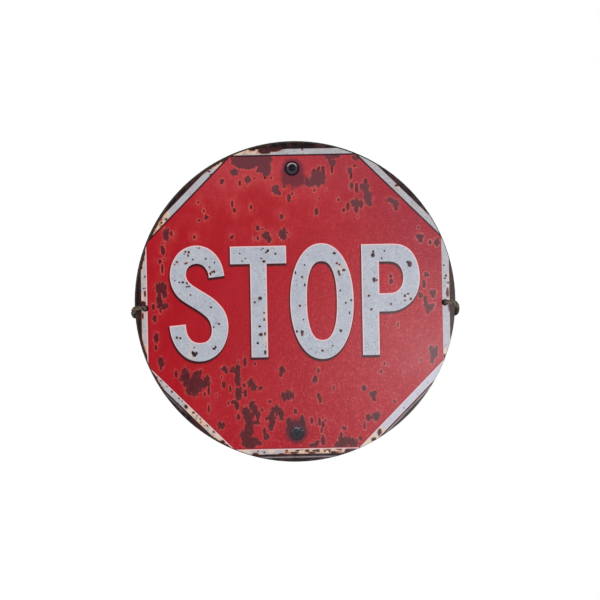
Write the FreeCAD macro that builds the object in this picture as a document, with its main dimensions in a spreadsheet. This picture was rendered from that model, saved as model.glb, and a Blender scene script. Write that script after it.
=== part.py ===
import FreeCAD, Part

import math
import os

import Sketcher
from FreeCAD import Placement, Rotation, Vector

# A round wall plaque with a stop sign printed on its face, hung on a wall hook by a cord.
# Lengths are in millimetres. +Z is up and the printed face looks along -Y.
# The origin is the top of the hook, where the underside of the cord rests on it.

# Driving dimensions: a name, a value and a note for each.
SIZES = [
    ("disc_diameter", 300.0, "board, across the rim"),
    ("board_thickness", 9.0, "fibreboard, face to face"),
    ("edge_bevel", 1.0, "easing of the rim's two edges"),
    ("hook_rise", 90.0, "top of the hook above the disc's centre"),
    ("hook_diameter", 8.0, "round hook that the cord bends over"),
    ("hole_diameter", 6.0, "drilled hole for the cord"),
    ("hole_edge_bevel", 0.5, "easing of the holes' edges"),
    ("hole_inset", 10.0, "hole's axis in from the rim"),
    ("hole_drop", 4.0, "holes below the disc's centre"),
    ("print_thickness", 0.2, "bonded printed facing"),
    ("corner_inset", 0.1, "red field's eight corners in from the rim"),
    ("border_width", 6.0, "white strip outside each side of the red field"),
    ("bolt_head_diameter", 14.0, "each of the two printed bolt heads"),
    ("upper_bolt_inset", 14.0, "upper printed bolt head's middle in from the red field's top edge"),
    ("lower_bolt_inset", 15.5, "lower printed bolt head's middle in from the red field's bottom edge"),
    ("cord_diameter", 4.0, "twisted jute cord"),
    ("knot_diameter", 12.6, "knot, over the crests of its turns"),
    ("knot_rise", 20.0, "knot's middle up the straight leg from the leg's lower end"),
    ("turn_width", 4.0, "each turn of a knot, along the leg"),
    ("groove_width", 1.2, "between two turns of a knot"),
    ("groove_depth", 1.0, "below the crests of a knot's turns"),
    ("strand_spacing", 4.45, "between the two lengths of cord in a knot"),
    ("strand_clearance", 0.15, "the knot's turns round those two lengths"),
    ("fit_clearance", 0.3, "knots clear of the board's back"),
]

SHEET = "Sizes"
OCTAGON_SIDES = 8
HALF_SIDE_ANGLE = 180.0 / OCTAGON_SIDES
KNOT_TURNS = 2
KNOT_LENGTH = f"({KNOT_TURNS} * Sizes.turn_width + {KNOT_TURNS - 1} * Sizes.groove_width)"
ALONG_LEG = Rotation(Vector(0, 1, 0), 90)

# Shape of the disc's face: its centre is below the hook, and it lies in front of the knots.
FACE_TURN = Rotation(Vector(1, 0, 0), 90)
BACK_Y = "-(Sizes.knot_diameter / 2 + Sizes.fit_clearance)"
FRONT_Y = f"{BACK_Y} - Sizes.board_thickness"
CENTRE_Z = "-Sizes.hook_rise"

# The red octagon's corners lie beside the rim, and its sides are this far from its middle.
RED_REACH = f"(Sizes.disc_diameter / 2 - Sizes.corner_inset) * cos({HALF_SIDE_ANGLE} deg)"

# The cord's route, from the end in the left knot to the end in the right knot.
LEFT_ROUTE = [
    # end inside the knot, and the way to the rim behind the board
    Vector(-120.3, 0.0, -85.5),
    Vector(-132.4, -0.3, -94.1),
    # round the rim, from the back to the front
    Vector(-153.4, -3.8, -104.0),
    Vector(-153.1, -18.7, -96.2),
    # over the face, through the hole and into the straight leg
    Vector(-139.9, -18.8, -94.1),
    Vector(-140.1, 0.0, -93.8),
]
HOOK_POINT = Vector(0.0, 0.0, 3.3)
RIGHT_ROUTE = [
    # out of the straight leg, through the hole and over the face
    Vector(140.1, 0.0, -93.8),
    Vector(139.9, -18.8, -93.9),
    # round the rim, from the front to the back
    Vector(153.2, -18.7, -94.6),
    Vector(153.1, -3.8, -106.0),
    # behind the board to the end inside the knot
    Vector(132.2, -0.3, -93.9),
    Vector(120.3, 0.0, -85.5),
]

# Each bend's arc takes this share of the shorter of its two runs.
ARC_SHARE = 0.45


def add_sheet(doc):
    """The spreadsheet of driving dimensions, one row for each."""
    sheet = doc.addObject("Spreadsheet::Sheet", SHEET)
    for row, (name, value, note) in enumerate(SIZES, start=1):
        sheet.set(f"A{row}", name)
        sheet.set(f"B{row}", str(value))
        sheet.set(f"C{row}", note)
        sheet.setAlias(f"B{row}", name)
    doc.recompute()
    return sheet


def bind(obj, property_name, expression):
    """Ties one property to an expression on the sheet."""
    obj.setExpression(property_name, expression)


def seat_on_disc(obj, y_expression):
    """Stands a shape drawn flat about its own origin upright, centred on the disc."""
    obj.Placement = Placement(Vector(), FACE_TURN)
    bind(obj, "Placement.Base.y", y_expression)
    bind(obj, "Placement.Base.z", CENTRE_Z)


def add_sketch(body, name, role):
    """An empty sketch on the plane of that role in the body's own origin."""
    plane = next(f for f in body.Origin.OriginFeatures if f.Role == role)
    sketch = body.newObject("Sketcher::SketchObject", name)
    sketch.AttachmentSupport = [(plane, "")]
    sketch.MapMode = "FlatFace"
    return sketch


def add_dimension(sketch, name, constraint, expression):
    """Adds a named dimension to a sketch and ties it to the sheet."""
    index = sketch.addConstraint(constraint)
    sketch.renameConstraint(index, name)
    bind(sketch, f"Constraints.{name}", expression)


def add_hole_circle(sketch, name, side):
    """A drilled hole's circle, on the left for side -1 and on the right for side +1."""
    centre = Vector(side, -1, 0)
    circle = sketch.addGeometry(Part.Circle(centre, Vector(0, 0, 1), 1))
    ends = (circle, 3, -1, 1) if side < 0 else (-1, 1, circle, 3)
    across = Sketcher.Constraint("DistanceX", *ends, 1.0)
    below = Sketcher.Constraint("DistanceY", circle, 3, -1, 1, 1.0)
    width = Sketcher.Constraint("Diameter", circle, 2.0)
    add_dimension(sketch, f"{name}_across", across, "Sizes.disc_diameter / 2 - Sizes.hole_inset")
    add_dimension(sketch, f"{name}_below", below, "Sizes.hole_drop")
    add_dimension(sketch, f"{name}_diameter", width, "Sizes.hole_diameter")


def circular_edges(shape, radius):
    """Names of a shape's round edges of that radius."""
    names = []
    for number, edge in enumerate(shape.Edges, start=1):
        if isinstance(edge.Curve, Part.Circle) and math.isclose(edge.Curve.Radius, radius):
            names.append(f"Edge{number}")
    return names


def add_bevel(body, name, base, edge_radius, expression):
    """Bevels every circular edge of one radius."""
    bevel = body.newObject("PartDesign::Chamfer", name)
    bevel.Base = (base, circular_edges(base.Shape, edge_radius))
    bind(bevel, "Size", expression)
    body.Document.recompute()
    return bevel


def add_board(doc, sheet):
    """The round fibreboard, drilled near each side, with its edges eased."""
    body = doc.addObject("PartDesign::Body", "board")
    rim = add_sketch(body, "rim", "XZ_Plane")
    circle = rim.addGeometry(Part.Circle(Vector(), Vector(0, 0, 1), 1))
    rim.addConstraint(Sketcher.Constraint("Coincident", circle, 3, -1, 1))
    width = Sketcher.Constraint("Diameter", circle, 2.0)
    add_dimension(rim, "diameter", width, "Sizes.disc_diameter")
    disc = body.newObject("PartDesign::Pad", "disc")
    disc.Profile = rim
    bind(disc, "Length", "Sizes.board_thickness")
    doc.recompute()

    holes = add_sketch(body, "holes", "XZ_Plane")
    add_hole_circle(holes, "left", -1)
    add_hole_circle(holes, "right", 1)
    drilled = body.newObject("PartDesign::Pocket", "drilled")
    drilled.Profile = holes
    drilled.Type = "ThroughAll"
    drilled.Reversed = True
    doc.recompute()
    removed = disc.Shape.Volume - drilled.Shape.Volume
    expected = 2 * math.pi * (sheet.hole_diameter / 2) ** 2 * sheet.board_thickness
    if not math.isclose(removed, expected, rel_tol=1e-3):
        raise ValueError(f"the holes took {removed:.1f} mm3, not {expected:.1f}")

    rim_edges = add_bevel(body, "rim_edges", drilled, sheet.disc_diameter / 2, "Sizes.edge_bevel")
    hole_edges = add_bevel(body, "hole_edges", rim_edges, sheet.hole_diameter / 2, "Sizes.hole_edge_bevel")
    body.Tip = hole_edges
    bind(body, "Placement.Base.y", BACK_Y)
    bind(body, "Placement.Base.z", CENTRE_Z)
    return body


def add_round_field(doc, name, diameter, across="0", above="0"):
    """A thin printed disc, flat about the face's centre."""
    field = doc.addObject("Part::Cylinder", name)
    bind(field, "Radius", f"({diameter}) / 2")
    bind(field, "Height", "Sizes.print_thickness")
    bind(field, "Placement.Base.x", across)
    bind(field, "Placement.Base.y", above)
    return field


def add_octagon_field(doc, name, reach):
    """A thin printed octagon with a flat side at its top, and its sides at that reach from its middle."""
    field = doc.addObject("Part::Prism", name)
    field.Polygon = OCTAGON_SIDES
    field.Placement = Placement(Vector(), Rotation(Vector(0, 0, 1), HALF_SIDE_ANGLE))
    bind(field, "Circumradius", f"({reach}) / cos({HALF_SIDE_ANGLE} deg)")
    bind(field, "Height", "Sizes.print_thickness")
    return field


def combine(doc, kind, name, base, tool):
    """The cut, common or fusion of two shapes."""
    result = doc.addObject(f"Part::{kind}", name)
    result.Base = base
    result.Tool = tool
    return result


def add_printed_fields(doc):
    """The printed facing, as fields of one colour side by side in one thin layer."""
    face = add_round_field(doc, "flat_face", "Sizes.disc_diameter - 2 * Sizes.edge_bevel")
    hole_width = "Sizes.hole_diameter + 2 * Sizes.hole_edge_bevel"
    hole_across = "Sizes.disc_diameter / 2 - Sizes.hole_inset"
    left = add_round_field(doc, "left_opening", hole_width, f"-({hole_across})", "-Sizes.hole_drop")
    right = add_round_field(doc, "right_opening", hole_width, hole_across, "-Sizes.hole_drop")
    openings = combine(doc, "Fuse", "openings", left, right)
    printable = combine(doc, "Cut", "printable_face", face, openings)

    head = "Sizes.bolt_head_diameter"
    upper = add_round_field(doc, "upper_bolt", head, above=f"{RED_REACH} - Sizes.upper_bolt_inset")
    lower = add_round_field(doc, "lower_bolt", head, above=f"Sizes.lower_bolt_inset - {RED_REACH}")
    bolt_pair = combine(doc, "Fuse", "bolt_pair", upper, lower)

    red = add_octagon_field(doc, "red_outline", RED_REACH)
    border = add_octagon_field(doc, "border_outline", f"{RED_REACH} + Sizes.border_width")
    border_ring = combine(doc, "Cut", "border_ring", border, red)
    red_on_face = combine(doc, "Common", "red_on_face", printable, red)

    fields = [
        combine(doc, "Cut", "red_octagon", red_on_face, bolt_pair),
        combine(doc, "Common", "border_strips", printable, border_ring),
        combine(doc, "Cut", "dark_segments", printable, border),
        combine(doc, "Common", "printed_bolt_heads", red_on_face, bolt_pair),
    ]
    for field in fields:
        seat_on_disc(field, FRONT_Y)
    return fields


def rounded_wire(points, set_radii):
    """Straight runs joined by tangent arcs, and the arcs' radii.

    A corner with no set radius gets the arc that takes its share of the shorter run.
    """
    edges = []
    radii = []
    run_start = points[0]
    for number in range(1, len(points) - 1):
        corner = points[number]
        back = points[number - 1] - corner
        ahead = points[number + 1] - corner
        half_turn = (math.pi - back.getAngle(ahead)) / 2
        radius = ARC_SHARE * min(back.Length, ahead.Length) / math.tan(half_turn)
        radius = set_radii.get(number, radius)
        back.normalize()
        ahead.normalize()
        inward = back + ahead
        inward.normalize()
        reach = radius * math.tan(half_turn)
        middle = corner + inward * (radius / math.cos(half_turn) - radius)
        edges.append(Part.LineSegment(run_start, corner + back * reach).toShape())
        edges.append(Part.Arc(corner + back * reach, middle, corner + ahead * reach).toShape())
        radii.append(radius)
        run_start = corner + ahead * reach
    edges.append(Part.LineSegment(run_start, points[-1]).toShape())
    return Part.Wire(edges), radii


def add_cord(doc, sheet):
    """The hanging cord, from knot to knot: round each rim, through each hole and over the hook."""
    points = LEFT_ROUTE + [HOOK_POINT] + RIGHT_ROUTE
    hook_bend = (sheet.hook_diameter + sheet.cord_diameter) / 2
    wire, radii = rounded_wire(points, {len(LEFT_ROUTE): hook_bend})
    direction = points[1] - points[0]
    section = Part.Wire(Part.Circle(points[0], direction, sheet.cord_diameter / 2).toShape())
    cord = doc.addObject("Part::Feature", "cord")
    cord.Shape = wire.makePipeShell([section], True, False)
    cord.Placement = Placement()
    print("cord length", round(wire.Length, 1))
    print("cord radii", [round(radius, 1) for radius in radii])
    expected = math.pi * (sheet.cord_diameter / 2) ** 2 * wire.Length
    if not math.isclose(cord.Shape.Volume, expected, rel_tol=0.01):
        raise ValueError(f"the cord holds {cord.Shape.Volume:.0f} mm3, not {expected:.0f}")
    return cord


def add_rod(doc, name, radius, length, across="0", start=None):
    """A cylinder along the leg: centred lengthways if it has no start, and off the middle by across."""
    rod = doc.addObject("Part::Cylinder", name)
    rod.Placement = Placement(Vector(), ALONG_LEG)
    bind(rod, "Radius", radius)
    bind(rod, "Height", length)
    bind(rod, "Placement.Base.x", start or f"-{length} / 2")
    bind(rod, "Placement.Base.z", across)
    return rod


def add_block(doc, name, length, width, height):
    """A box centred on the origin."""
    block = doc.addObject("Part::Box", name)
    for side, axis, size in (("Length", "x", length), ("Width", "y", width), ("Height", "z", height)):
        bind(block, side, size)
        bind(block, f"Placement.Base.{axis}", f"-({size}) / 2")
    return block


def add_turns(doc, name):
    """The turns of a knot side by side, with a narrower neck between them."""
    crest = "Sizes.knot_diameter / 2"
    pieces = [add_rod(doc, f"{name}_neck", f"{crest} - Sizes.groove_depth", KNOT_LENGTH)]
    for number in range(KNOT_TURNS):
        start = f"{number} * (Sizes.turn_width + Sizes.groove_width) - {KNOT_LENGTH} / 2"
        pieces.append(add_rod(doc, f"{name}_turn_{number + 1}", crest, "Sizes.turn_width", start=start))
    turns = doc.addObject("Part::MultiFuse", f"{name}_turns")
    turns.Shapes = pieces
    return turns


def add_knot(doc, sheet, name, leg_end):
    """A knot behind the board, tied with the cord's end round its own straight leg."""
    channel = "Sizes.cord_diameter / 2 + Sizes.strand_clearance"
    apart = "Sizes.strand_spacing"
    upper = add_rod(doc, f"{name}_leg_channel", channel, KNOT_LENGTH, f"{apart} / 2")
    lower = add_rod(doc, f"{name}_end_channel", channel, KNOT_LENGTH, f"-{apart} / 2")
    channels = combine(doc, "Fuse", f"{name}_channels", upper, lower)
    between = add_block(doc, f"{name}_between", KNOT_LENGTH, f"2 * ({channel})", apart)
    slot = combine(doc, "Fuse", f"{name}_slot", channels, between)
    knot = combine(doc, "Cut", name, add_turns(doc, name), slot)

    up_leg = HOOK_POINT - leg_end
    up_leg.normalize()
    side = math.copysign(1.0, up_leg.x)
    down = Vector(up_leg.z * side, 0, -up_leg.x * side)
    middle = leg_end + up_leg * sheet.knot_rise + down * (sheet.strand_spacing / 2)
    knot.Placement = Placement(middle, Rotation(Vector(1, 0, 0), up_leg * side))
    return knot


def check(doc, parts):
    """Stops at a feature that failed or a sub-part with no valid solid."""
    for obj in doc.Objects:
        if {"Invalid", "Error"} & set(obj.State):
            raise ValueError(f"{obj.Name} failed: {obj.State}")
    for part in parts:
        shape = part.Shape
        if shape.isNull() or not shape.isValid() or not shape.Solids:
            raise ValueError(f"{part.Label} has no valid solid")


def main():
    doc = FreeCAD.newDocument("stop_sign_plaque")
    sheet = add_sheet(doc)
    parts = [add_board(doc, sheet)]
    parts += add_printed_fields(doc)
    parts.append(add_cord(doc, sheet))
    parts.append(add_knot(doc, sheet, "knot_left", LEFT_ROUTE[-1]))
    parts.append(add_knot(doc, sheet, "knot_right", RIGHT_ROUTE[0]))
    for part in parts:
        part.Label = part.Name
    doc.recompute()
    check(doc, parts)
    os.makedirs("parts", exist_ok=True)
    for part in parts:
        part.Shape.exportStep(f"parts/{part.Label}.step")
        print(part.Label, len(part.Shape.Solids), round(part.Shape.Volume, 1))


main()
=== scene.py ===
import math

import bpy
import numpy as np
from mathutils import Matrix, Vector
from mathutils.geometry import delaunay_2d_cdt

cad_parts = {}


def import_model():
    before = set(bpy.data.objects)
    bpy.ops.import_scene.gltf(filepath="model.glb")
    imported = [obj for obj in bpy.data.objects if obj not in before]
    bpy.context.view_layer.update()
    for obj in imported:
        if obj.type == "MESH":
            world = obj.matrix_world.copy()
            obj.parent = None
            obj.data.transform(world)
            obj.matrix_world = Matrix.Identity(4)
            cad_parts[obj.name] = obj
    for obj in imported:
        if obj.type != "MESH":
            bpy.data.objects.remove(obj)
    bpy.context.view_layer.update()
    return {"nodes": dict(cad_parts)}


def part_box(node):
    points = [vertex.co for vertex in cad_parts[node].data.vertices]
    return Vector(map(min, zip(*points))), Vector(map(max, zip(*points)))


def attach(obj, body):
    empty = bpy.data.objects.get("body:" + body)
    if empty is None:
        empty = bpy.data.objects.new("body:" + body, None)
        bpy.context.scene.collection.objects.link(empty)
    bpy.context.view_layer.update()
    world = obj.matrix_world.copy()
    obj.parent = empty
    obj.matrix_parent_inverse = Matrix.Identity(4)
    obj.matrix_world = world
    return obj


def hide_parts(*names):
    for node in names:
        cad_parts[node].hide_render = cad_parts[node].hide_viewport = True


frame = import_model()

# A round wall plaque printed as a worn stop sign, with its jute hanging cord.
# The scene is in metres. The print is laid out in millimetres: its places are (across, up) from the
# middle of the picture, and its lists and functions use millimetres throughout.
MM = 0.001

board_low, board_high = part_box("board")
red_low, red_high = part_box("red_octagon")
strips_low, strips_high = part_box("border_strips")
ground_low, ground_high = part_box("dark_segments")

DISC_CENTRE = (board_low + board_high) / 2
DISC_RADIUS = (board_high.x - board_low.x) / 2
FACE_Y = red_low.y
BOARD_FACE_Y = board_low.y
BOARD_BACK_Y = board_high.y
PRINT_DEPTH = BOARD_FACE_Y - FACE_Y
LETTER_RISE = 0.05 * MM

# The print's sizes, in millimetres.
PRINT_RADIUS = (ground_high.x - ground_low.x) / 2 / MM
RED_REACH = (red_high.x - red_low.x) / 2 / MM
STRIP_WIDTH = (strips_high.x - strips_low.x) / 2 / MM - RED_REACH
BOLT_RADIUS = 7.0

# The middles of the holes in the board, and the middles and radius of the openings in the print.
HOLE_PLACES = [(-140, -4), (140, -4)]
PRINT_HOLE_PLACES = [(-139.7, -3.7), (140.5, -3.4)]
PRINT_HOLE_RADIUS = 3.1

# Spacing of the vertices that carry the print's colours. As shares of it, how far apart their rows
# are and how far they stay off an outline.
RED_SPACING = 1.0
LETTER_SPACING = 0.55
BORDER_SPACING = 0.6
BOLT_SPACING = 0.5
ROW_SHARE = 0.87
CLEAR_SHARE = 0.45

# The picture's middle against the board's, and its round edge's against the picture's.
PICTURE_SHIFT = (-0.5, -0.17)
RIM_SHIFT = (1.0, -0.3)

# The eight sides, clockwise from the top, and the degrees from one to the next.
SIDES = ["top", "upper_right", "right", "lower_right", "bottom", "lower_left", "left", "upper_left"]
SIDE_TURN = 360 / len(SIDES)

# The picture is printed a little unevenly: how far each side lies out from the plain octagon's, and
# how much wider its strip is.
SIDE_SHIFT = [-0.8, 1.4, -0.2, -0.2, -1.1, 0.0, -0.9, 0.1]
STRIP_SHIFT = [-0.9, -0.5, 0.7, 0.6, -1.0, -0.6, -0.5, -0.4]

# How far the letters' printed shadow lies from them.
LETTER_SHADOW = (-0.45, -1.6)

# The sides with a dark or a light line against the red, and the one with a light line outside too,
# that is a little thinner. How strong a light line is on its strip.
DARK_LINED = ["top", "upper_right", "upper_left"]
LIGHT_LINED = ["left", "lower_left", "bottom", "lower_right"]
LIGHT_LINED_OUTSIDE = ["lower_right"]
THINNER_OUTSIDE = 0.3
LIGHT_LINE = 0.85

# How brown the ground beside some strips is, how bluish some strips are, and how orange their stains.
# The other sides have the least, or none.
BROWNED = {"right": 0.9, "left": 0.9, "upper_left": 0.5, "lower_right": 0.6, "lower_left": 0.3}
# The strips' pale bluish tone is partly painted sheen, strongest on the lower right strip.
BLUISH_AND_SHEEN = {"lower_right": 0.8, "right": 0.2, "upper_left": 0.15}
RUSTED = {"top": 0.8, "upper_left": 0.8, "left": 0.9, "lower_left": 0.65, "bottom": 1.0, "lower_right": 0.4}
LEAST_BROWNED = 0.25
LEAST_RUSTED = 0.3

# How wide the dark edge of some strips is along the disc's rim. The others have none.
DARK_RIMMED = {"left": 1.3, "upper_left": 1.2, "lower_left": 0.8}
NO_DARK_RIM = -9.0

# How far past its strip some sides' ground shows a pale printed line, where along the side it
# starts, and its strength.
PALE_EDGED = {"lower_left": (1.9, 3, 0.5), "lower_right": (1.9, -90, 1.0), "bottom": (2.9, -90, 1.0)}

# How high each printed bolt head lies and how softly it is drawn, and where its recess is on it.
BOLTS = {"bolt_upper": (124.5, 0.0), "bolt_lower": (-123.0, 1.0)}
RECESS_SHIFT = (0.2, 0.9)

# A distance that stands for far from every patch and letter, and the size given to so far a patch.
FAR = 30.0
FAR_SIZE = 5.0

# How far beyond its half size a patch is felt, and how high and low the letters' shadow reaches.
PATCH_MARGIN = 14
SHADOW_BAND = 60

# How many places are measured at a time, to spare memory.
BLOCK = 4096

# The outlines of the letters.
S_FROM_UPPER_END = [
    (-65.2, 25.3), (-66.6, 33), (-69.6, 40.5), (-74.2, 46.8), (-80.2, 51.4), (-87, 53.7), (-92, 54.1),
    (-98, 53.1), (-104.8, 49.8), (-110.4, 44.2), (-114.2, 37), (-115.9, 29.5), (-115.8, 22), (-114, 15),
    (-110.6, 8.8), (-106, 3.9), (-100, -0.4), (-93, -4.8), (-86, -9.8), (-81.2, -14.4), (-78.8, -19),
    (-77.8, -25), (-78.8, -30.8), (-81.5, -34.8), (-85.5, -36.7), (-90, -37), (-94.5, -35.9), (-98, -33.2),
    (-100.6, -28.6), (-101.6, -24), (-102, -19.5),
]
S_FROM_LOWER_END = [
    (-117.3, -20.8), (-116.3, -28), (-114.1, -35), (-110.6, -41.8), (-106, -47.4), (-100.5, -51.6),
    (-94.5, -53.7), (-88.5, -54.2), (-82, -53.1), (-75.6, -50), (-70, -45), (-66, -38.5), (-63.3, -31),
    (-62.3, -24), (-62.5, -17.5), (-64.3, -10.5), (-67.3, -4.8), (-71, -0.3), (-75.5, 4), (-82, 8.6),
    (-90, 13.6), (-96, 17.8), (-99.8, 22), (-101, 26.5), (-100.2, 31.5), (-97.6, 35), (-93.5, 36.9),
    (-89, 37), (-84.6, 35), (-81.6, 31.3), (-80.1, 27.5), (-79.7, 23.6),
]
T_OUTLINE = [
    (-59.5, 52.5), (-59.5, 36), (-41, 36), (-41, -51.5), (-25.5, -51.5), (-25.5, 36), (-7, 36), (-7, 52.5),
]
P_BOWL = [
    (93, 52.4), (100, 51.4), (106, 48.7), (111, 43.9), (114.9, 36.5), (117, 28.5), (117.7, 21),
    (117.1, 13.8), (115, 6.6), (111.2, 0), (106, -5), (100, -8.6), (94, -10.4), (88, -10.8),
]
P_COUNTER_BOWL = [
    (89, 35.9), (94, 35), (98, 32.4), (100.6, 28.4), (101.9, 23.5), (101.9, 18.6), (100.7, 13.6), (98, 9.7),
    (94, 7), (88.5, 6.2),
]
P_STEM_TOP = [(63.2, 52.4)]
P_STEM_FOOT = [(79, -10.8), (79, -51.3), (63.2, -51.3)]
P_COUNTER_TOP = [(79.6, 35.9)]
P_COUNTER_FOOT = [(79.6, 6.2)]

# The O's two ovals: middle, half width, half height, and how full their shoulders are.
O_OUTLINE = ((25.7, 0), 29.7, 54.1, 2.12)
O_COUNTER = ((25.7, 0.5), 14.0, 36.8, 2.45)

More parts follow.
